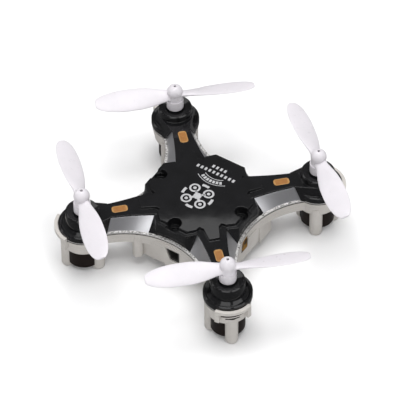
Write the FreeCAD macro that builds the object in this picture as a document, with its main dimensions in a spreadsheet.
import FreeCAD, Part
import math
import os
import Sketcher

# Palm-size quadcopter. Millimetres, +Z up, feet on z = 0, nose towards -Y.
V = FreeCAD.Vector
doc = FreeCAD.newDocument("palm_drone")
sheet = doc.addObject("Spreadsheet::Sheet", "Dims")

DIMS = {
    # plan of the airframe
    "motor_off": 17.5,
    "lip_apex": 11.9,
    "lip_neck": 3.85,
    "lip_pod": 5.0,
    "skirt_apex": 11.35,
    "skirt_neck": 3.45,
    "hull_apex": 11.55,
    "hull_neck": 3.5,
    "hull_pod": 4.4,
    "arm_tip": 21.5,
    "skirt_half": 3.0,
    "skirt_arc": 17.3,
    "deck_half": 1.75,
    "deck_root": 6.4,
    "deck_arc": 66,
    "room_half": 1.55,
    "room_root": 6.65,
    "room_arc": 50,
    "wall": 0.9,
    # heights
    "belly_low": 2.5,
    "belly_floor": 3.3,
    "arm_low": 7.0,
    "arm_floor": 7.8,
    "collar_low": 6.2,
    "lip_low": 9.95,
    "lip_top": 10.25,
    "seam_tall": 0.24,
    "seam_deep": 0.35,
    "deck_low": 13.05,
    "deck_top": 13.45,
    "band_top": 13.4,
    "plateau_edge": 14.05,
    "plateau_top": 14.35,
    # belly box
    "belly_half": 11.6,
    "belly_half_top": 11.9,
    "belly_flat": 7.4,
    "wall_pad_near": 3.8,
    "wall_pad_far": 8.24,
    "wall_pad_face": 12.0,
    "wall_pad_low": 2.2,
    # centre block of the canopy
    "block_half": 5.05,
    "block_y": 12.05,
    "block_flat": 3.5,
    "block_flat_y": 11.66,
    "crown_half": 5.1,
    "crown_y": 9.7,
    "crown_edge": 11.4,
    "block_room": 9.8,
    "block_room_half": 4.15,
    "block_room_top": 13.1,
    "neck_near": 19.25,
    "neck_near_foot": 20.4,
    "neck_far": 24.75,
    "neck_foot": 3.4,
    "neck_foot_far": 4.85,
    "neck_head": 2.0,
    "neck_head_far": 3.9,
    "core_r": 19.6,
    # plateau outline, one eighth
    "plat_flat_x": 3.35,
    "plat_flat_y": 10.7,
    "plat_nose_x": 4.75,
    "plat_nose_y": 9.2,
    "plat_notch_x": 4.95,
    "plat_notch_y": 8.25,
    "plat_root_x": 5.95,
    "plat_root_y": 8.25,
    "plat_tip_x": 8.4,
    "plat_tip_y": 9.95,
    # recesses on the four sides
    "recess_at": 9.8,
    "recess_r": 1.4,
    "recess_floor": 12.0,
    "notch_floor": 13.0,
    "pin_hole_r": 0.7,
    "cup_r": 2.1,
    "cup_floor": 11.2,
    # arm windows
    "lens_at": 17.0,
    "lens_long": 3.3,
    "lens_wide": 1.75,
    "lens_corner": 0.6,
    "lens_fit": 0.02,
    "lens_top": 13.39,
    "lens_flange": 0.6,
    "lens_base": 12.1,
    "lamp_chip_low": 11.35,
    "ribbon_low": 11.05,
    "ribbon_in": 10.15,
    "ribbon_wide": 0.8,
    "ribbon_thick": 0.3,
    # silver frame
    "panel_near": 5.05,
    "panel_far_low": 21.1,
    "panel_far_top": 19.8,
    "panel_shift": 0.7,
    "panel_top": 12.5,
    # pod turret
    "flange_r": 5.05,
    "flange_top": 11.4,
    "rim_r": 4.8,
    "rim_z": 11.65,
    "ledge_r": 4.3,
    "ledge_z": 11.5,
    "turret_r": 3.75,
    "turret_foot": 12.1,
    "turret_head_r": 3.5,
    "turret_head": 14.6,
    "turret_face_r": 3.25,
    "turret_top": 14.85,
    "turret_dish": 14.45,
    "turret_hole": 1.3,
    "turret_room_r": 2.5,
    "turret_room_z": 13.6,
    "can_seat": 11.15,
    # legs, guard bracket
    "leg_r": 1.35,
    "leg_at": 3.42,
    "leg_round": 0.45,
    "cup_low": 1.3,
    "guard_in": 5.15,
    "guard_out": 5.9,
    "guard_low": 10.15,
    "guard_top": 10.9,
    "prong_in": 4.5,
    "prong_low": 7.8,
    "prong_turn": 9.5,
    "guard_turn": 40,
    "slit_low": 8.45,
    "slit_top": 9.3,
    "slit_turn": 30,
    "slit_room_r": 4.2,
    "slit_back_r": 4.5,
    "gap_low": 7.65,
    "gap_top": 8.05,
    "gap_turn": 19,
    # case screws
    "post_along": 14.07,
    "post_side": 3.46,
    "post_r": 1.15,
    "post_low": 2.9,
    "screw_r": 0.35,
    "screw_head_r": 0.75,
    "screw_head": 0.5,
    "screw_sink": 0.4,
    "screw_tip": 10.5,
    "boss_top": 12.2,
    # motors
    "sleeve_r": 3.6,
    "sleeve_top": 9.0,
    "sleeve_slot": 1.3,
    "can_r": 3.0,
    "can_in": 2.75,
    "can_low": 1.7,
    "can_top": 11.1,
    "can_plate": 0.4,
    "can_boss_r": 1.0,
    "can_boss": 0.5,
    "bearing_r": 0.45,
    "shaft_r": 0.4,
    "shaft_low": 1.85,
    "shaft_top": 19.9,
    "cap_top": 2.3,
    "coil_low": 2.7,
    "coil_floor": 3.1,
    "coil_top": 10.2,
    "coil_r": 2.5,
    "coil_in": 2.15,
    "magnet_r": 1.8,
    "magnet_in": 0.65,
    "magnet_low": 3.6,
    # propellers
    "hub_r": 1.78,
    "hub_low": 14.95,
    "hub_top": 17.15,
    "waist_r": 1.52,
    "dome_r": 1.65,
    "dome_z": 19.15,
    "dimple_r": 0.3,
    "prop_r": 17.0,
    "blade_z": 18.25,
    "chord": 5.0,
    "blade_thick": 0.75,
    "pitch": 21,
    # board and what sits on it
    "board_half": 10.1,
    "board_corner": 7.2,
    "board_low": 8.1,
    "board_thick": 0.8,
    "standoff_at": 8.0,
    "standoff_r": 0.85,
    "wire_r": 0.25,
    "wire_gap": 0.3,
    "wire_at": 3.3,
    "wire_low": 1.45,
    "wire_end": 10.9,
    # openings in the hull
    "port_x": 0.7,
    "port_half": 1.7,
    "port_slant": 1.1,
    "port_low": 5.0,
    "port_top": 8.2,
    "port_rim": 0.5,
    "port_sink": 0.25,
    "bay_left": 4.8,
    "bay_left_foot": 0.9,
    "bay_right": 6.2,
    "bay_right_foot": 4.4,
    "bay_top": 9.0,
    "bay_face": 12.1,
    "lamp_y": -1.87,
    "lamp_half": 1.23,
    "lamp_low": 5.35,
    "lamp_top": 8.85,
    "lamp_face": 11.75,
    "knob_wide": 1.4,
    "knob_out": 12.35,
    "knob_travel": 1.5,
    "knob_low": 6.1,
    "knob_tall": 1.3,
    # battery
    "cell_long": 16.4,
    "cell_wide": 13.6,
    "cell_tall": 4.2,
    "cell_round": 0.9,
}
for row, (alias, value) in enumerate(DIMS.items(), 1):
    sheet.set("A%d" % row, alias)
    sheet.set("B%d" % row, str(value))
    sheet.setAlias("B%d" % row, alias)
doc.recompute()


class Size:
    """A sheet value together with the expression that gives it."""

    def __init__(self, text, value):
        self.text = text
        self.value = value

    def mix(self, other, sign, value):
        text = other.text if isinstance(other, Size) else repr(other)
        return Size("(%s %s %s)" % (self.text, sign, text), value)

    def __add__(self, other):
        return self.mix(other, "+", self.value + num(other))

    def __sub__(self, other):
        return self.mix(other, "-", self.value - num(other))

    def __mul__(self, other):
        return self.mix(other, "*", self.value * num(other))

    def __truediv__(self, other):
        return self.mix(other, "/", self.value / num(other))

    def __neg__(self):
        return Size("(-1 * %s)" % self.text, -self.value)


def num(size):
    return size.value if isinstance(size, Size) else size


def d(alias):
    return Size("Dims." + alias, float(DIMS[alias]))


def tie(obj, prop, size):
    """Drive a property from the sheet."""
    if isinstance(size, Size):
        obj.setExpression(prop, size.text)
    else:
        setattr(obj, prop, size)


def put(obj, x=0, y=0, z=0, turn=None):
    """Place an object; the position follows the sheet."""
    obj.Placement = FreeCAD.Placement(V(num(x), num(y), num(z)), turn or FreeCAD.Rotation())
    for axis, size in (("x", x), ("y", y), ("z", z)):
        if isinstance(size, Size):
            obj.setExpression("Placement.Base." + axis, size.text)
    return obj


def spin(degrees):
    return FreeCAD.Rotation(V(0, 0, 1), degrees)


# ---------------------------------------------------------------- sketch helpers
def pin(sketch, geo, end, x, y):
    """Hold a point of a sketch at sheet coordinates."""
    for axis, size, line in (("DistanceX", x, -2), ("DistanceY", y, -1)):
        if abs(num(size)) < 1e-9:
            sketch.addConstraint(Sketcher.Constraint("PointOnObject", geo, end, line))
        else:
            index = sketch.addConstraint(Sketcher.Constraint(axis, geo, end, num(size)))
            if isinstance(size, Size):
                sketch.setExpression("Constraints[%d]" % index, size.text)


def radius(sketch, geo, size):
    index = sketch.addConstraint(Sketcher.Constraint("Radius", geo, num(size)))
    if isinstance(size, Size):
        sketch.setExpression("Constraints[%d]" % index, size.text)


def draw_ring(sketch, r, x=0, y=0):
    geo = sketch.addGeometry(Part.Circle(V(num(x), num(y), 0), V(0, 0, 1), num(r)))
    radius(sketch, geo, r)
    pin(sketch, geo, 3, x, y)


def draw_outline(sketch, corners):
    """Closed outline; a corner may carry the radius of a hollow arc to the next one."""
    flat = [(num(c[0]), num(c[1])) for c in corners]
    ends = []
    for i, corner in enumerate(corners):
        (ax, ay), (bx, by) = flat[i], flat[(i + 1) % len(flat)]
        if len(corner) == 2:
            geo = sketch.addGeometry(Part.LineSegment(V(ax, ay, 0), V(bx, by, 0)))
            ends.append((geo, 1, 2))
            continue
        r = num(corner[2])
        half = math.hypot(bx - ax, by - ay) / 2
        rise = math.sqrt(r * r - half * half)
        cx = (ax + bx) / 2 + (by - ay) / (2 * half) * rise
        cy = (ay + by) / 2 - (bx - ax) / (2 * half) * rise
        start = math.atan2(by - cy, bx - cx)
        stop = math.atan2(ay - cy, ax - cx)
        circle = Part.Circle(V(cx, cy, 0), V(0, 0, 1), r)
        geo = sketch.addGeometry(Part.ArcOfCircle(circle, start, stop))
        ends.append((geo, 2, 1))
        radius(sketch, geo, corner[2])
    for i, (geo, first, last) in enumerate(ends):
        after = ends[(i + 1) % len(ends)]
        sketch.addConstraint(Sketcher.Constraint("Coincident", geo, last, after[0], after[1]))
        pin(sketch, geo, first, corners[i][0], corners[i][1])


def draw_box(sketch, x, y, wide, deep):
    """Rectangle by its centre and its two sides."""
    left, right = x - wide / 2, x + wide / 2
    front, rear = y - deep / 2, y + deep / 2
    draw_outline(sketch, [(left, front), (right, front), (right, rear), (left, rear)])


def side_arc(apex, pod):
    """Radius of the hollow arc that touches two pods and passes the apex."""
    h = d("motor_off")
    k = h - apex + pod
    return (h * h - k * k) / (k * 2) + h - apex


def draw_star(sketch, apex, pod):
    """Four round pods joined by four hollow arcs that touch them."""
    h = d("motor_off")
    side = side_arc(apex, pod)
    far = apex.value + side.value
    lean = math.degrees(math.atan2(h.value, far - h.value))
    pods = []
    sides = []
    for i in range(4):
        sx = 1 if i in (0, 3) else -1
        sy = 1 if i in (0, 1) else -1
        centre = V(sx * h.value, sy * h.value, 0)
        circle = Part.Circle(centre, V(0, 0, 1), pod.value)
        start = math.radians(90 * i - lean)
        stop = math.radians(90 * i + 90 + lean)
        pods.append(sketch.addGeometry(Part.ArcOfCircle(circle, start, stop)))
        out = math.radians(90 * i + 90)
        circle = Part.Circle(V(far * math.cos(out), far * math.sin(out), 0), V(0, 0, 1), side.value)
        start = math.radians(270 + 90 * i - lean)
        stop = math.radians(270 + 90 * i + lean)
        sides.append(sketch.addGeometry(Part.ArcOfCircle(circle, start, stop)))
        pin(sketch, pods[i], 3, h if sx > 0 else -h, h if sy > 0 else -h)
        radius(sketch, pods[i], pod)
        radius(sketch, sides[i], side)
    for i in range(4):
        after = pods[(i + 1) % 4]
        sketch.addConstraint(Sketcher.Constraint("Tangent", pods[i], 2, sides[i], 2))
        sketch.addConstraint(Sketcher.Constraint("Tangent", sides[i], 1, after, 1))


# ---------------------------------------------------------------- Part helpers
def draw_arms(sketch, tip, half, root, arc):
    """Four tapering arms; their hollow sides meet on the X and Y axes."""
    c = math.sqrt(0.5)
    quarter = [((tip + half) * c, (tip - half) * c), ((tip - half) * c, (tip + half) * c, arc),
               (Size("0", 0.0), root, arc)]
    corners = []
    for i in range(4):
        corners += quarter
        quarter = [(-y, x, *rest) for x, y, *rest in quarter]
    draw_outline(sketch, corners)


def plane(name, z, draw, *args):
    """Free sketch in a horizontal plane."""
    sketch = doc.addObject("Sketcher::SketchObject", name)
    put(sketch, z=z)
    draw(sketch, *args)
    return sketch


def prism(name, sketch, height):
    solid = doc.addObject("Part::Extrusion", name)
    solid.Base = sketch
    solid.DirMode = "Custom"
    solid.Dir = V(0, 0, 1)
    solid.Solid = True
    tie(solid, "LengthFwd", height)
    return solid


def loft(name, low, high):
    solid = doc.addObject("Part::Loft", name)
    solid.Sections = [low, high]
    solid.Solid = True
    solid.Ruled = True
    return solid


def star_loft(name, low_z, low_apex, low_pod, high_z, high_apex, high_pod):
    low = plane(name + "_low", low_z, draw_star, low_apex, low_pod)
    high = plane(name + "_high", high_z, draw_star, high_apex, high_pod)
    return loft(name, low, high)


def rod(name, r, low, high, x=0, y=0):
    solid = doc.addObject("Part::Cylinder", name)
    tie(solid, "Radius", r)
    tie(solid, "Height", high - low)
    return put(solid, x, y, low)


def slab(name, x, y, z, wide, deep, tall):
    """Box by the centre of its base and its three sides."""
    solid = doc.addObject("Part::Box", name)
    tie(solid, "Length", wide)
    tie(solid, "Width", deep)
    tie(solid, "Height", tall)
    return put(solid, x - wide / 2, y - deep / 2, z)


def fuse(name, solids):
    joined = doc.addObject("Part::MultiFuse", name)
    joined.Shapes = solids
    joined.Refine = True
    return joined


def cut(name, base, tool):
    rest = doc.addObject("Part::Cut", name)
    rest.Base = base
    rest.Tool = tool
    rest.Refine = True
    return rest


def overlap(name, one, two):
    both = doc.addObject("Part::Common", name)
    both.Base = one
    both.Tool = two
    both.Refine = True
    return both


def lathe(name, profile):
    """Turn an outline of (radius, height) corners about the Z axis."""
    sketch = doc.addObject("Sketcher::SketchObject", name + "_profile")
    sketch.Placement = FreeCAD.Placement(V(0, 0, 0), FreeCAD.Rotation(V(1, 0, 0), 90))
    draw_outline(sketch, profile)
    solid = doc.addObject("Part::Revolution", name)
    solid.Source = sketch
    solid.Axis = V(0, 0, 1)
    solid.Base = V(0, 0, 0)
    solid.Angle = 360
    solid.Solid = True
    return solid


def copies(name, source, turns, x=0, y=0):
    """The same solid again at other turns about the Z axis."""
    made = []
    for i, turn in enumerate(turns):
        link = doc.addObject("Part::Compound", "%s_%d" % (name, i))
        link.Links = [source]
        put(link, x, y, 0, spin(turn))
        made.append(link)
    return made


# ---------------------------------------------------------------- PartDesign helpers
def new_body(name):
    body = doc.addObject("PartDesign::Body", name)
    body.Label = name
    return body


def body_sketch(body, z, draw, *args, role="XY_Plane"):
    sketch = body.newObject("Sketcher::SketchObject", body.Name + "_sketch")
    origin = [f for f in body.Origin.OriginFeatures if f.Role == role][0]
    sketch.AttachmentSupport = [(origin, "")]
    sketch.MapMode = "FlatFace"
    sketch.AttachmentOffset = FreeCAD.Placement(V(0, 0, num(z)), FreeCAD.Rotation())
    if isinstance(z, Size):
        sketch.setExpression("AttachmentOffset.Base.z", z.text)
    draw(sketch, *args)
    return sketch


def pad(body, z, tall, draw, *args):
    sketch = body_sketch(body, z, draw, *args)
    feature = body.newObject("PartDesign::Pad", body.Name + "_pad")
    feature.Profile = sketch
    tie(feature, "Length", tall)
    sketch.Visibility = False
    body.Tip = feature
    return feature


def pocket(body, z, deep, draw, *args):
    """Cut downwards from height z."""
    sketch = body_sketch(body, z, draw, *args)
    feature = body.newObject("PartDesign::Pocket", body.Name + "_pocket")
    feature.Profile = sketch
    tie(feature, "Length", deep)
    sketch.Visibility = False
    body.Tip = feature
    return feature


def turned(body, profile):
    sketch = body_sketch(body, 0, draw_outline, profile, role="XZ_Plane")
    feature = body.newObject("PartDesign::Revolution", body.Name + "_turned")
    feature.Profile = sketch
    feature.ReferenceAxis = (sketch, ["V_Axis"])
    feature.Angle = 360
    sketch.Visibility = False
    body.Tip = feature
    return feature


def soften(body, kind, size, keep):
    """Fillet or chamfer the edges of the tip that pass a test."""
    doc.recompute()
    tip = body.Tip
    edges = ["Edge%d" % (i + 1) for i, e in enumerate(tip.Shape.Edges) if keep(e)]
    feature = body.newObject("PartDesign::" + kind, body.Name + "_" + kind.lower())
    feature.Base = (tip, edges)
    tie(feature, "Radius" if kind == "Fillet" else "Size", size)
    body.Tip = feature
    return feature


def upright(edge):
    box = edge.BoundBox
    return box.ZLength > 1e-3 and box.XLength < 1e-3 and box.YLength < 1e-3


NODES = []
ARMS = {"rear_left": 45, "rear_right": 135, "front_right": 225, "front_left": 315}


def keep_node(obj, label):
    obj.Label = label
    NODES.append(obj)
    return obj


def arm_xy(arm):
    h = d("motor_off")
    x = h if arm.endswith("left") else -h
    y = h if arm.startswith("rear") else -h
    return x, y


# ---------------------------------------------------------------- lower shell
hull_side = star_loft("hull", d("arm_low"), d("hull_apex"), d("hull_neck"),
                      d("lip_low"), d("lip_apex"), d("lip_neck"))
collars = []
for arm in ARMS:
    collar = doc.addObject("Part::Cone", "collar_" + arm)
    tie(collar, "Radius1", d("hull_pod"))
    tie(collar, "Radius2", d("lip_pod"))
    tie(collar, "Height", d("lip_low") - d("collar_low"))
    collars.append(put(collar, *arm_xy(arm), d("collar_low")))


def draw_belly(sketch, half, flat):
    corners = []
    for sx, sy, swap in ((1, 1, 0), (1, 1, 1), (-1, 1, 1), (-1, 1, 0),
                         (-1, -1, 0), (-1, -1, 1), (1, -1, 1), (1, -1, 0)):
        x, y = (flat, half) if swap else (half, flat)
        corners.append((x if sx > 0 else -x, y if sy > 0 else -y))
    draw_outline(sketch, corners)


belly = loft("belly",
             plane("belly_bottom", d("belly_low"), draw_belly, d("belly_half"), d("belly_flat")),
             plane("belly_join", d("arm_floor"), draw_belly, d("belly_half_top"), d("belly_flat")))
belly_room = prism("belly_room",
                   plane("belly_inside", d("belly_floor"), draw_belly,
                         d("belly_half") - d("wall"), d("belly_flat") - d("wall") / 2),
                   d("lip_top") - d("belly_floor"))
arm_room = prism("arm_room",
                 plane("arm_inside", d("arm_floor"), draw_star,
                       d("hull_apex") - d("wall"), d("hull_neck") - d("wall") * 1.3),
                 d("lip_top") - d("arm_floor"))


def front_prism(name, corners, near, far):
    """Upright block by its outline seen from the nose, between two distances from the centre."""
    sketch = doc.addObject("Sketcher::SketchObject", name + "_outline")
    sketch.Placement = FreeCAD.Placement(V(0, -num(near), 0), FreeCAD.Rotation(V(1, 0, 0), 90))
    sketch.setExpression("Placement.Base.y", (-near).text)
    draw_outline(sketch, corners)
    solid = prism(name, sketch, far - near)
    solid.Dir = V(0, -1, 0)
    return solid


bay = front_prism("bay", [(-d("bay_left"), d("bay_top")), (-d("bay_left_foot"), d("belly_low")),
                          (d("bay_right_foot"), d("belly_low")), (d("bay_right"), d("bay_top"))],
                  d("belly_half") - d("wall") / 2, d("bay_face"))
wall_pad_y = (d("wall_pad_near") + d("wall_pad_far")) / 2
wall_pad = slab("wall_pad", d("wall_pad_face") - d("wall") / 2, wall_pad_y, d("wall_pad_low"), d("wall"),
                d("wall_pad_far") - d("wall_pad_near"), d("lip_low") - d("wall_pad_low"))
leg_rods = []
for i, turn in enumerate((0, -108, 137)):
    angle = math.radians(turn)
    leg_rods.append(rod("leg_%d" % i, d("leg_r"), Size("0", 0.0), d("arm_floor"),
                        d("leg_at") * math.cos(angle), d("leg_at") * math.sin(angle)))
legs = fuse("legs", leg_rods)
doc.recompute()
leg_feet = doc.addObject("Part::Fillet", "leg_feet")
leg_feet.Base = legs
leg_feet.Edges = [(i + 1, DIMS["leg_round"], DIMS["leg_round"])
                  for i, e in enumerate(legs.Shape.Edges) if e.BoundBox.ZMax < 1e-6]


def sector(name, inner, outer, low, high, start, sweep):
    """Piece of a ring between two angles."""
    solids = []
    for part, r in (("out", outer), ("in", inner)):
        solid = doc.addObject("Part::Cylinder", "%s_%s" % (name, part))
        tie(solid, "Radius", r)
        tie(solid, "Height", high - low)
        tie(solid, "Angle", sweep)
        put(solid, 0, 0, low, spin(num(start)))
        solids.append(solid)
    return cut(name, solids[0], solids[1])


turn = d("guard_turn")
prong = d("prong_turn")
guard = [sector("guard_bar", d("guard_in"), d("guard_out"), d("guard_low"), d("guard_top"), -turn, turn * 2)]
for tag, start in (("a", -turn), ("b", turn - prong)):
    guard.append(sector("prong_" + tag, d("guard_in"), d("guard_out"), d("prong_low"), d("guard_top"),
                        start, prong))
    guard.append(sector("prong_root_" + tag, d("prong_in"), d("guard_out"), d("prong_low"), d("lip_low"),
                        start, prong))
pod_set = fuse("pod_set", [leg_feet] + guard)
slit = sector("slit", d("can_r"), d("guard_in"), d("slit_low"), d("slit_top"),
              -d("slit_turn"), d("slit_turn") * 2)
gap = sector("gap", d("can_r"), d("guard_in"), d("gap_low"), d("gap_top"), -d("gap_turn"), d("gap_turn") * 2)
slit_room = sector("slit_room", d("can_r"), d("slit_room_r"), d("gap_low") - 0.3, d("slit_top"),
                   -d("slit_turn"), d("slit_turn") * 2)
slit_back = sector("slit_back", d("can_r"), d("slit_back_r"), d("gap_top"), d("slit_top"),
                   -d("slit_turn"), d("slit_turn") * 2)
pod_slots = fuse("pod_slots", [slit, gap, slit_room, slit_back])
slots = []
for arm, turn_deg in ARMS.items():
    slots += copies("slots_" + arm, pod_slots, [turn_deg], *arm_xy(arm))
pods = []
for arm, turn_deg in ARMS.items():
    pods += copies("pod_" + arm, pod_set, [turn_deg], *arm_xy(arm))

bores = [rod("bore_" + arm, d("sleeve_r"), d("cup_low"), d("lip_top") + 1, *arm_xy(arm))
         for arm in ARMS]
POSTS = []
for turn_deg, side in ((45, 1), (225, 1), (225, -1)):
    c, s = math.cos(math.radians(turn_deg)), math.sin(math.radians(turn_deg))
    along, across = d("post_along"), d("post_side") * side
    POSTS.append((along * c - across * s, along * s + across * c))
posts = [rod("post_%d" % i, d("post_r"), d("post_low"), d("lip_low"), x, y)
         for i, (x, y) in enumerate(POSTS)]
standoffs = [rod("standoff_%d" % i, d("standoff_r"), d("belly_low") + 0.4, d("board_low"),
                 d("standoff_at") * sx, d("standoff_at") * sy)
             for i, (sx, sy) in enumerate(((1, 1), (-1, 1), (-1, -1), (1, -1)))]
head_low = d("post_low") + d("screw_sink")
sinks = [rod("sink_%d" % i, d("screw_head_r") + 0.05, 0, head_low + d("screw_head"), x, y)
         for i, (x, y) in enumerate(POSTS)]
shank_holes = [rod("shank_hole_%d" % i, d("screw_r"), 0, d("lip_top"), x, y)
               for i, (x, y) in enumerate(POSTS)]
port_left = d("port_x") - d("port_half")
port_right = d("port_x") + d("port_half")
port_cut = front_prism("port_cut", [(port_left, d("port_top")), (port_left + d("port_slant"), d("port_low")),
                                    (port_right, d("port_low")), (port_right, d("port_top"))],
                       d("belly_half") - d("wall") * 2, d("bay_face") + 1)
lamp_cut = slab("lamp_cut", Size("10", 10.0), d("lamp_y"), d("lamp_low"),
                d("wall") * 6, d("lamp_half") * 2, d("lamp_top") - d("lamp_low"))
knob_cut = slab("knob_cut", Size("0", 0.0), Size("11", 11.0), d("knob_low") - 0.15,
                d("knob_wide") + d("knob_travel") + 0.2, d("wall") * 5, d("knob_tall") + 0.3)
seam_tall = d("seam_tall")


def seam_block(name, grow):
    """Outline of the parting line, all round the airframe."""
    solids = [prism(name + "_star", plane(name + "_plan", d("lip_low") - seam_tall, draw_star,
                                          d("lip_apex") + grow, d("lip_neck") + grow), seam_tall)]
    for arm in ARMS:
        solids.append(rod("%s_%s" % (name, arm), d("lip_pod") + grow, d("lip_low") - seam_tall,
                          d("lip_low"), *arm_xy(arm)))
    return fuse(name, solids)


seam = cut("seam", seam_block("seam_out", d("seam_deep") / 2), seam_block("seam_in", -d("seam_deep")))
shell_full = fuse("shell_full", [hull_side, belly, bay, wall_pad] + collars + pods + posts)
shell_room = fuse("shell_room", [belly_room, arm_room])
shell_open = cut("shell_open", shell_full, shell_room)
shell_in = fuse("shell_in", [shell_open] + standoffs + [
    overlap("post_in_%d" % i, p, shell_full) for i, p in enumerate(posts)])
shell_tools = fuse("shell_tools", bores + slots + sinks + shank_holes + [seam, port_cut, lamp_cut, knob_cut])
keep_node(cut("lower_shell", shell_in, shell_tools), "lower_shell")

# ---------------------------------------------------------------- silver frame
shift = d("panel_shift")
tip = d("arm_tip")
skin = loft("skin", plane("skin_low", d("lip_top"), draw_arms, tip, d("skirt_half"), d("skirt_apex"),
                          d("skirt_arc")),
            plane("skin_high", d("deck_low"), draw_arms, tip, d("deck_half"), d("deck_root"), d("deck_arc")))
skin_room = loft("skin_room", plane("skin_room_low", d("lip_top"), draw_arms, tip, d("skirt_half") - shift,
                                    d("skirt_apex") - shift, d("skirt_arc")),
                 plane("skin_room_high", d("panel_top"), draw_arms, tip, d("room_half"), d("room_root"),
                       d("room_arc")))
zones = []
for arm, turn_deg in ARMS.items():
    wedge = doc.addObject("Part::Wedge", "wedge_" + arm)
    tie(wedge, "Xmin", Size("4", 4.0))
    tie(wedge, "X2min", Size("4", 4.0))
    tie(wedge, "Xmax", d("panel_far_low"))
    tie(wedge, "X2max", d("panel_far_top"))
    tie(wedge, "Ymin", d("lip_top") - 0.01)
    tie(wedge, "Ymax", d("deck_low"))
    for prop, value in (("Zmin", -9), ("Z2min", -9), ("Zmax", 9), ("Z2max", 9)):
        setattr(wedge, prop, value)
    wedge.Placement = FreeCAD.Placement(V(0, 0, 0), spin(turn_deg) * FreeCAD.Rotation(V(1, 0, 0), 90))
    corner = slab("corner_" + arm, d("panel_near") + 9, d("panel_near") + 9, d("lip_low"),
                  Size("18", 18.0), Size("18", 18.0), Size("6", 6.0))
    corner = copies("turned_corner_" + arm, corner, [turn_deg - 45])[0]
    zones.append(overlap("zone_" + arm, wedge, corner))
arm_zone = fuse("arm_zone", zones)
panels = overlap("panels", cut("skin_shell", skin, skin_room), arm_zone)
rings = [rod("ring_" + arm, d("lip_pod"), d("lip_low"), d("lip_top"), *arm_xy(arm)) for arm in ARMS]
ring_holes = [rod("ring_hole_" + arm, d("lip_pod") - 0.95, d("lip_low"), d("lip_top"), *arm_xy(arm))
              for arm in ARMS]
lip_tall = d("lip_top") - d("lip_low")
lip_out = prism("lip_out", plane("lip_plan", d("lip_low"), draw_star, d("lip_apex"), d("lip_neck")), lip_tall)
lip_in = prism("lip_in", plane("lip_hole", d("lip_low"), draw_star, d("skirt_apex") - shift,
                               d("skirt_neck") - shift), lip_tall)
lip = cut("lip", fuse("lip_full", [lip_out] + rings), fuse("lip_open", [lip_in] + ring_holes))
bosses = [overlap("boss_%d" % i, rod("boss_rod_%d" % i, d("post_r"), d("lip_top"), d("boss_top"), x, y),
                  skin) for i, (x, y) in enumerate(POSTS)]
boss_holes = [rod("boss_hole_%d" % i, d("screw_r"), d("belly_low"), d("screw_tip"), x, y)
              for i, (x, y) in enumerate(POSTS)]


def window_tool(name, grow, low, high, turn_deg):
    """Round-cornered block on an arm, used for windows and lenses."""
    body = new_body(name)
    pad(body, low, high - low, draw_box, d("lens_at"), Size("0", 0.0),
        d("lens_long") + grow, d("lens_wide") + grow)
    soften(body, "Fillet", d("lens_corner") + grow / 2, upright)
    body.Placement = FreeCAD.Placement(V(0, 0, 0), spin(turn_deg))
    return body


frame_full = fuse("frame_full", [panels, lip] + bosses)
frame_cuts = fuse("frame_cuts", boss_holes + [
    window_tool("frame_window_" + arm, d("lens_fit") * 2, d("lip_top"), d("deck_top"), turn_deg)
    for arm, turn_deg in ARMS.items()])
keep_node(cut("mid_frame", frame_full, frame_cuts), "mid_frame")

# ---------------------------------------------------------------- canopy
zero = Size("0", 0.0)


def draw_block_low(sketch):
    bx, by = d("block_half"), d("block_y")
    fx, fy = d("block_flat"), d("block_flat_y")
    arc = d("skirt_arc")
    draw_outline(sketch, [(bx, -by), (bx, by, arc), (fx, fy, arc), (-fx, fy, arc),
                          (-bx, by), (-bx, -by, arc), (-fx, -fy, arc), (fx, -fy, arc)])


def draw_block_high(sketch):
    bx, by = d("crown_half"), d("crown_y")
    fx, fy = d("block_flat"), d("crown_edge")
    draw_outline(sketch, [(bx, -by), (bx, by), (fx, fy), (-fx, fy),
                          (-bx, by), (-bx, -by), (-fx, -fy), (fx, -fy)])


def draw_plateau(sketch, scale):
    """Plateau with a tongue onto every arm; one eighth is given, the rest is mirrored."""
    names = ("plat_flat", "plat_nose", "plat_notch", "plat_root", "plat_tip")
    eighth = [(d(n + "_x") * scale, d(n + "_y") * scale) for n in names]
    quarter = [(y, x) for x, y in eighth] + eighth[::-1]
    corners = []
    for i in range(4):
        corners += quarter
        quarter = [(-y, x) for x, y in quarter]
    draw_outline(sketch, corners)


def draw_neck(sketch, start, near, far):
    end = d("neck_far")
    draw_outline(sketch, [(start, -near), (end, -far), (end, far), (start, near)])


bar_y = loft("bar_y", plane("bar_low", d("lip_top"), draw_block_low),
             plane("bar_high", d("band_top"), draw_block_high))
bars = copies("bar", bar_y, [0, 90])
dome_r = (d("plat_flat_y") * d("plat_flat_y")) / ((d("plateau_top") - d("plateau_edge")) * 2)
dome = doc.addObject("Part::Sphere", "dome")
tie(dome, "Radius", dome_r)
put(dome, z=d("plateau_top") - dome_r)
plateau = overlap("plateau", loft("plateau_block",
                                  plane("plateau_low", d("deck_low"), draw_plateau, 1.005),
                                  plane("plateau_high", d("plateau_top") + 0.2, draw_plateau, 0.965)),
                  dome)
core = rod("core", d("core_r"), d("lip_low"), d("plateau_top"))
strips = overlap("strips", prism("strip_arms", plane("strip_plan", d("deck_low"), draw_arms, tip,
                                                     d("deck_half"), d("deck_root"), d("deck_arc")),
                                 d("deck_top") - d("deck_low")), core)
neck = loft("neck", plane("neck_low", d("lip_top"), draw_neck, d("neck_near_foot"), d("neck_foot"),
                          d("neck_foot_far")),
            plane("neck_high", d("deck_top"), draw_neck, d("neck_near"), d("neck_head"), d("neck_head_far")))
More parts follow.
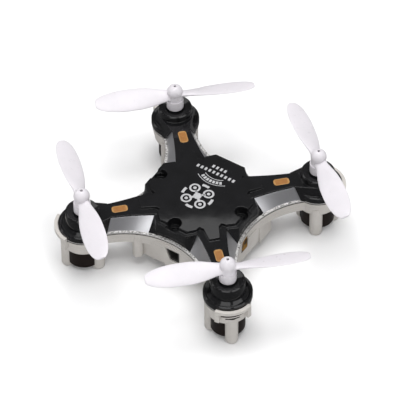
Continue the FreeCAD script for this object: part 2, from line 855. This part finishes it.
turret = lathe("turret", [
    (d("turret_hole"), d("lip_top")), (d("flange_r"), d("lip_top")), (d("flange_r"), d("flange_top")),
    (d("rim_r"), d("rim_z")), (d("ledge_r"), d("ledge_z")), (d("turret_r"), d("turret_foot")),
    (d("turret_head_r"), d("turret_head")), (d("turret_face_r"), d("turret_top")),
    (d("turret_hole"), d("turret_dish"))])
turrets = []
seats = []
for arm, turn_deg in ARMS.items():
    x, y = arm_xy(arm)
    turrets += copies("turret_" + arm, turret, [turn_deg], x, y)
    seats.append(rod("can_seat_" + arm, d("can_r") + 0.02, d("lip_low"), d("can_seat"), x, y))
    seats.append(rod("turret_room_" + arm, d("turret_room_r"), d("lip_low"), d("turret_room_z"), x, y))
    seats.append(rod("turret_hole_" + arm, d("turret_hole"), d("lip_low"), d("plateau_top"), x, y))
tunnel = slab("tunnel", (d("core_r") + d("neck_far")) / 2, zero, d("lip_low"),
              d("neck_far") - d("core_r") + 2, Size("2.4", 2.4), Size("1.2", 1.2))
cups = []
recesses = []
for i, (sx, sy) in enumerate(((1, 0), (-1, 0), (0, -1))):
    x, y = d("recess_at") * sx, d("recess_at") * sy
    cups.append(rod("cup_rod_%d" % i, d("cup_r"), d("cup_floor"), d("band_top"), x, y))
    recesses.append(rod("recess_%d" % i, d("recess_r"), d("recess_floor"), d("plateau_top") + 1, x, y))
    recesses.append(rod("pin_hole_%d" % i, d("pin_hole_r"), d("cup_floor") + 0.3, d("plateau_top"),
                        x, y))
    reach = d("recess_at") + 1.5
    wide = d("recess_r") * 2
    recesses.append(slab("notch_%d" % i, reach * sx, reach * sy, d("notch_floor"),
                         Size("3", 3.0) if sx else wide, Size("3", 3.0) if sy else wide,
                         d("plateau_top") + 1 - d("notch_floor")))
canopy_full = fuse("canopy_full", bars + [plateau, strips] + copies("neck_at", neck, ARMS.values())
                   + turrets)
bar_rooms = [slab("bar_room_%d" % i, zero, zero, d("lip_low"), w * 2, l * 2,
                  d("block_room_top") - d("lip_low"))
             for i, (w, l) in enumerate(((d("block_room_half"), d("block_room")),
                                         (d("block_room"), d("block_room_half"))))]
frame_body = overlap("frame_body", skin, arm_zone)
canopy_room = fuse("canopy_room", [frame_body, overlap("skin_room_core", skin_room, core)]
                   + bar_rooms + seats + copies("tunnel_at", tunnel, ARMS.values()))
canopy_shell = cut("canopy_shell", canopy_full, canopy_room)
cup_set = overlap("cup_set", fuse("cup_rods", cups), fuse("bar_pair", bars))
canopy_cups = fuse("canopy_cups", [canopy_shell, cup_set])
windows = [window_tool("window_" + arm, d("lens_fit") * 2, d("deck_low") - 1, d("plateau_top"), turn_deg)
           for arm, turn_deg in ARMS.items()]
keep_node(cut("canopy", canopy_cups, fuse("canopy_cuts", recesses + windows)), "canopy")

# ---------------------------------------------------------------- windows and lamps
for arm, turn_deg in ARMS.items():
    lens = new_body("lens_" + arm)
    base = d("lens_base")
    pad(lens, base, d("panel_top") - base, draw_box, d("lens_at"), zero,
        d("lens_long") + d("lens_flange"), d("lens_wide") + d("lens_flange"))
    pad(lens, base, d("lens_top") - base, draw_box, d("lens_at"), zero, d("lens_long"), d("lens_wide"))
    soften(lens, "Fillet", d("lens_corner"), upright)
    lens.Placement = FreeCAD.Placement(V(0, 0, 0), spin(turn_deg))
    keep_node(lens, "lens_" + arm)

lamp_chips = []
ribbons = []
for arm, turn_deg in ARMS.items():
    chip = slab("lamp_chip_" + arm, d("lens_at"), zero, d("lamp_chip_low"), Size("1.6", 1.6),
                d("ribbon_wide"), d("lens_base") - d("lamp_chip_low"))
    lamp_chips += copies("lamp_at_" + arm, chip, [turn_deg])
    run = d("lens_at") + 0.8 - d("ribbon_in")
    flat = slab("ribbon_flat_" + arm, d("ribbon_in") + run / 2, zero, d("ribbon_low"), run,
                d("ribbon_wide"), d("ribbon_thick"))
    board_top = d("board_low") + d("board_thick")
    drop = slab("ribbon_drop_" + arm, d("ribbon_in") + d("ribbon_thick") / 2, zero, board_top,
                d("ribbon_thick"), d("ribbon_wide"), d("ribbon_low") - board_top + 0.1)
    ribbons += copies("ribbon_at_" + arm, fuse("ribbon_" + arm, [flat, drop]), [turn_deg])
keep_node(fuse("arm_lamps", lamp_chips), "arm_lamps")
keep_node(fuse("lamp_leads", ribbons), "lamp_leads")

status = new_body("status_lens")
pad(status, d("lamp_low"), d("lamp_top") - d("lamp_low"), draw_box, d("lamp_face") - 0.45, d("lamp_y"),
    Size("0.9", 0.9), d("lamp_half") * 2)
soften(status, "Chamfer", Size("0.15", 0.15), upright)
keep_node(status, "status_lens")
keep_node(slab("status_lamp", Size("9.2", 9.2), d("lamp_y"), d("board_low") - 0.7, Size("1.2", 1.2),
               Size("1.6", 1.6), Size("0.7", 0.7)), "status_lamp")

# ---------------------------------------------------------------- board
board = new_body("circuit_board")
pad(board, d("board_low"), d("board_thick"), draw_belly, d("board_half"), d("board_corner"))
keep_node(board, "circuit_board")
board_top = d("board_low") + d("board_thick")
CHIPS = {
    "main_chip": (0.0, 0.0, 5.0, 5.0, 0.9),
    "radio_chip": (4.9, 2.9, 3.4, 3.4, 0.8),
    "motion_sensor": (-4.6, 3.2, 3.0, 3.0, 0.95),
    "crystal": (4.9, -1.2, 3.2, 1.8, 0.9),
}
for label, (x, y, wide, deep, tall) in CHIPS.items():
    chip = new_body(label)
    pad(chip, board_top, Size(repr(tall), tall), draw_box, Size(repr(x), x), Size(repr(y), y),
        Size(repr(wide), wide), Size(repr(deep), deep))
    soften(chip, "Chamfer", Size("0.12", 0.12), upright)
    keep_node(chip, label)
drivers = [slab("driver_%d" % i, d("standoff_at") * sx * 0.7, d("standoff_at") * sy * 0.7, board_top,
                Size("1.7", 1.7), Size("1.4", 1.4), Size("0.8", 0.8))
           for i, (sx, sy) in enumerate(((1, 1), (-1, 1), (-1, -1), (1, -1)))]
keep_node(fuse("motor_drivers", drivers), "motor_drivers")

cell = new_body("battery")
pad(cell, d("belly_floor"), d("cell_tall"), draw_box, zero, zero, d("cell_long"), d("cell_wide"))
soften(cell, "Fillet", d("cell_round"), lambda e: e.BoundBox.XLength > 10)
keep_node(cell, "battery")


def cord(label, routes, r):
    """Round wires along broken lines with ball corners."""
    solids = []
    for route in routes:
        points = [V(*(num(c) for c in point)) for point in route]
        solid = None
        for a, b in zip(points, points[1:]):
            piece = Part.makeCylinder(num(r), (b - a).Length, a, b - a)
            solid = piece if solid is None else solid.fuse([Part.makeSphere(num(r), a), piece])
        solids.append(solid.removeSplitter())
    wire = doc.addObject("Part::Feature", label)
    wire.Shape = Part.Compound(solids) if len(solids) > 1 else solids[0]
    return wire


lead_y = d("cell_wide") / 2
lead_z = d("belly_floor") + d("cell_tall") * 0.7
keep_node(cord("battery_lead", [
    [(x, lead_y, lead_z), (x, lead_y + 0.45, lead_z), (x, lead_y + 0.45, d("board_low"))]
    for x in (-4.0, -4.9)], d("wire_r")), "battery_lead")
keep_node(cord("antenna_wire", [
    [(-3.0, 7.6, board_top), (-3.0, 7.6, 9.9), (-8.2, 8.9, 10.2), (-14.2, 12.2, 10.4)]],
    d("wire_r") - 0.05), "antenna_wire")

# ---------------------------------------------------------------- charge socket and switch
socket_top = d("board_low")
rim = d("port_rim")
socket_box = slab("socket_box", d("port_x"), Size("-8.9", -8.9), d("port_low"), d("port_half") * 2,
                  Size("3.4", 3.4), socket_top - d("port_low"))
socket_nose = front_prism("socket_nose", [
    (port_left + 0.1, socket_top), (port_left + d("port_slant") + 0.07, d("port_low") + 0.03),
    (port_right - 0.03, d("port_low") + 0.03), (port_right - 0.03, socket_top)],
    Size("10.5", 10.5), d("bay_face") - d("port_sink"))
socket_mouth = front_prism("socket_mouth", [
    (port_left + d("port_slant") * 0.2 + rim, socket_top - rim),
    (port_left + d("port_slant") * 0.85 + rim, d("port_low") + rim),
    (port_right - rim, d("port_low") + rim), (port_right - rim, socket_top - rim)],
    Size("8.6", 8.6), d("bay_face") + 0.1)
keep_node(cut("charge_socket", fuse("socket_full", [socket_box, socket_nose]), socket_mouth), "charge_socket")
keep_node(fuse("charge_pins", [
    slab("charge_pin_%d" % i, d("port_x") + dx, Size("-9.4", -9.4),
         (d("port_low") + d("board_low")) / 2 - 0.2, Size("0.4", 0.4), Size("1.6", 1.6), Size("0.4", 0.4))
    for i, dx in enumerate((-0.1, 0.85))]), "charge_pins")
switch_low = Size("5.5", 5.5)
switch = new_body("power_switch_body")
pad(switch, switch_low, d("board_low") - switch_low, draw_box, zero, Size("9.2", 9.2),
    Size("5.2", 5.2), Size("2.6", 2.6))
pocket(switch, d("knob_low") + d("knob_tall") + 0.15, d("knob_tall") + 0.3, draw_box, zero,
       Size("10", 10.0), d("knob_wide") + d("knob_travel") + 0.3, Size("1.6", 1.6))
keep_node(switch, "power_switch_body")
knob = new_body("power_switch_knob")
pad(knob, d("knob_low"), d("knob_tall"), draw_box, -d("knob_travel") / 2,
    (d("knob_out") + 9.4) / 2, d("knob_wide"), d("knob_out") - 9.4)
soften(knob, "Chamfer", Size("0.15", 0.15), lambda e: e.BoundBox.YMin > 12.3)
keep_node(knob, "power_switch_knob")

# ---------------------------------------------------------------- case screws
screws = []
for i, (x, y) in enumerate(POSTS):
    head = rod("screw_head_%d" % i, d("screw_head_r"), head_low, head_low + d("screw_head"), x, y)
    shank = rod("screw_shank_%d" % i, d("screw_r"), head_low, d("screw_tip"), x, y)
    slots = [slab("screw_slot_%d_%d" % (i, n), x, y, head_low, wide, deep, Size("0.25", 0.25))
             for n, (wide, deep) in enumerate(((Size("1", 1.0), Size("0.2", 0.2)),
                                               (Size("0.2", 0.2), Size("1", 1.0))))]
    screws.append(cut("screw_%d" % i, fuse("screw_blank_%d" % i, [head, shank]),
                      fuse("screw_cross_%d" % i, slots)))
keep_node(fuse("case_screws", screws), "case_screws")

# ---------------------------------------------------------------- motors
for arm, turn_deg in ARMS.items():
    x, y = arm_xy(arm)
    sleeve = new_body("motor_sleeve_" + arm)
    pad(sleeve, d("cup_low"), d("sleeve_top") - d("cup_low"), draw_ring, d("sleeve_r"))
    pocket(sleeve, d("sleeve_top"), d("sleeve_top"), draw_ring, d("can_r"))
    pocket(sleeve, d("sleeve_top"), d("sleeve_top"), draw_box, -d("sleeve_r"), zero,
           Size("2", 2.0), d("sleeve_slot"))
    put(sleeve, x, y, 0, spin(turn_deg))
    keep_node(sleeve, "motor_sleeve_" + arm)
    can = new_body("motor_can_" + arm)
    top = d("can_top")
    plate = top - d("can_plate")
    turned(can, [(d("can_in"), d("can_low")), (d("can_r"), d("can_low")), (d("can_r"), top),
                 (d("can_boss_r"), top), (d("can_boss_r"), top + d("can_boss")),
                 (d("bearing_r"), top + d("can_boss")), (d("bearing_r"), plate), (d("can_in"), plate)])
    put(can, x, y, 0)
    keep_node(can, "motor_can_" + arm)
    magnet = new_body("motor_magnet_" + arm)
    pad(magnet, d("magnet_low"), plate - d("magnet_low"), draw_ring, d("magnet_r"))
    pocket(magnet, plate, plate - d("magnet_low"), draw_ring, d("magnet_in"))
    put(magnet, x, y, 0)
    keep_node(magnet, "motor_magnet_" + arm)
    cap = new_body("motor_end_cap_" + arm)
    pad(cap, d("can_low"), d("cap_top") - d("can_low"), draw_ring, d("can_in"))
    pocket(cap, d("cap_top"), d("cap_top") - d("can_low"), draw_ring, d("bearing_r"))
    put(cap, x, y, 0)
    keep_node(cap, "motor_end_cap_" + arm)
    coil = new_body("motor_coil_" + arm)
    turned(coil, [(d("shaft_r"), d("coil_low")), (d("coil_r"), d("coil_low")),
                  (d("coil_r"), d("coil_top")), (d("coil_in"), d("coil_top")),
                  (d("coil_in"), d("coil_floor")), (d("shaft_r"), d("coil_floor"))])
    put(coil, x, y, 0)
    keep_node(coil, "motor_coil_" + arm)
    keep_node(rod("motor_shaft_" + arm, d("shaft_r"), d("shaft_low"), d("shaft_top"), x, y),
              "motor_shaft_" + arm)
    c, s = math.cos(math.radians(turn_deg)), math.sin(math.radians(turn_deg))
    rise_z = board_top + d("wire_r")
    routes = []
    for side in (1, -1):
        across = d("wire_gap") * side
        local = [(d("motor_off") * math.sqrt(2) - start, z) for start, z in (
            (1.7, d("wire_low")), (d("wire_at"), d("wire_low")), (d("wire_at"), rise_z))]
        local.append((d("wire_end"), rise_z))
        routes.append([(a * c - across * s, a * s + across * c, z) for a, z in local])
    keep_node(cord("motor_wires_" + arm, routes, d("wire_r")), "motor_wires_" + arm)

# ---------------------------------------------------------------- propellers
BLADE = (
    # share of the tip radius, share of the chord, share of the pitch, share of the thickness
    (0.05, 0.50, 1.20, 1.60),
    (0.14, 0.57, 1.30, 1.45),
    (0.26, 0.77, 1.25, 1.20),
    (0.40, 0.94, 1.12, 1.05),
    (0.56, 1.00, 1.00, 0.95),
    (0.71, 0.97, 0.90, 0.85),
    (0.85, 0.82, 0.80, 0.75),
    (0.94, 0.60, 0.75, 0.70),
    (0.99, 0.32, 0.75, 0.60),
)


def blade(sense):
    """One blade along +X; a positive sense spins counter-clockwise seen from above."""
    rings = []
    for reach, chord, pitch, thick in BLADE:
        lean = math.radians(DIMS["pitch"] * pitch) * sense
        along = V(0, math.cos(lean), math.sin(lean))
        centre = V(DIMS["prop_r"] * reach, 0, DIMS["blade_z"])
        half = DIMS["chord"] * chord / 2
        flat = DIMS["blade_thick"] * thick / 2
        ring = Part.Ellipse(centre + along * half, centre + V(0, -along.z, along.y) * flat, centre)
        rings.append(Part.Wire([ring.toShape()]))
    return Part.makeLoft(rings, True, False)


REST = {"rear_left": 140, "rear_right": 42, "front_right": 137.5, "front_left": 43.5}
for arm, rest in REST.items():
    x, y = arm_xy(arm)
    sense = 1 if rest > 90 else -1
    blades = doc.addObject("Part::Feature", "blades_" + arm)
    one = blade(sense)
    other = one.copy()
    other.rotate(V(0, 0, 0), V(0, 0, 1), 180)
    blades.Shape = Part.Compound([one, other])
    blades.Placement = FreeCAD.Placement(V(0, 0, 0), spin(rest))
    hub = rod("hub_" + arm, d("hub_r"), d("hub_low"), d("hub_top"))
    waist = rod("waist_" + arm, d("waist_r"), d("hub_top") - 0.2, d("dome_z"))
    ball = doc.addObject("Part::Sphere", "ball_" + arm)
    tie(ball, "Radius", d("dome_r"))
    put(ball, z=d("dome_z"))
    full = fuse("prop_full_" + arm, [blades, hub, waist, ball])
    hole = fuse("prop_hole_" + arm, [rod("prop_bore_" + arm, d("shaft_r"), d("hub_low"), d("shaft_top")),
                                     rod("dimple_" + arm, d("dimple_r"), d("hub_low"),
                                         d("plateau_top") * 2)])
    prop = cut("propeller_" + arm, full, hole)
    put(prop, x, y, 0)
    keep_node(prop, "propeller_" + arm)

# ---------------------------------------------------------------- check and write
doc.recompute()
for obj in doc.Objects:
    if "Invalid" in obj.State or "Error" in obj.State:
        raise RuntimeError("%s did not rebuild" % obj.Name)
for obj in NODES:
    if obj.Shape.isNull() or not obj.Shape.isValid() or obj.Shape.Volume <= 0:
        raise RuntimeError("%s has a bad shape" % obj.Label)
os.makedirs("parts", exist_ok=True)
for obj in NODES:
    obj.Shape.exportStep("parts/%s.step" % obj.Label)
print(len(NODES), "pieces written")
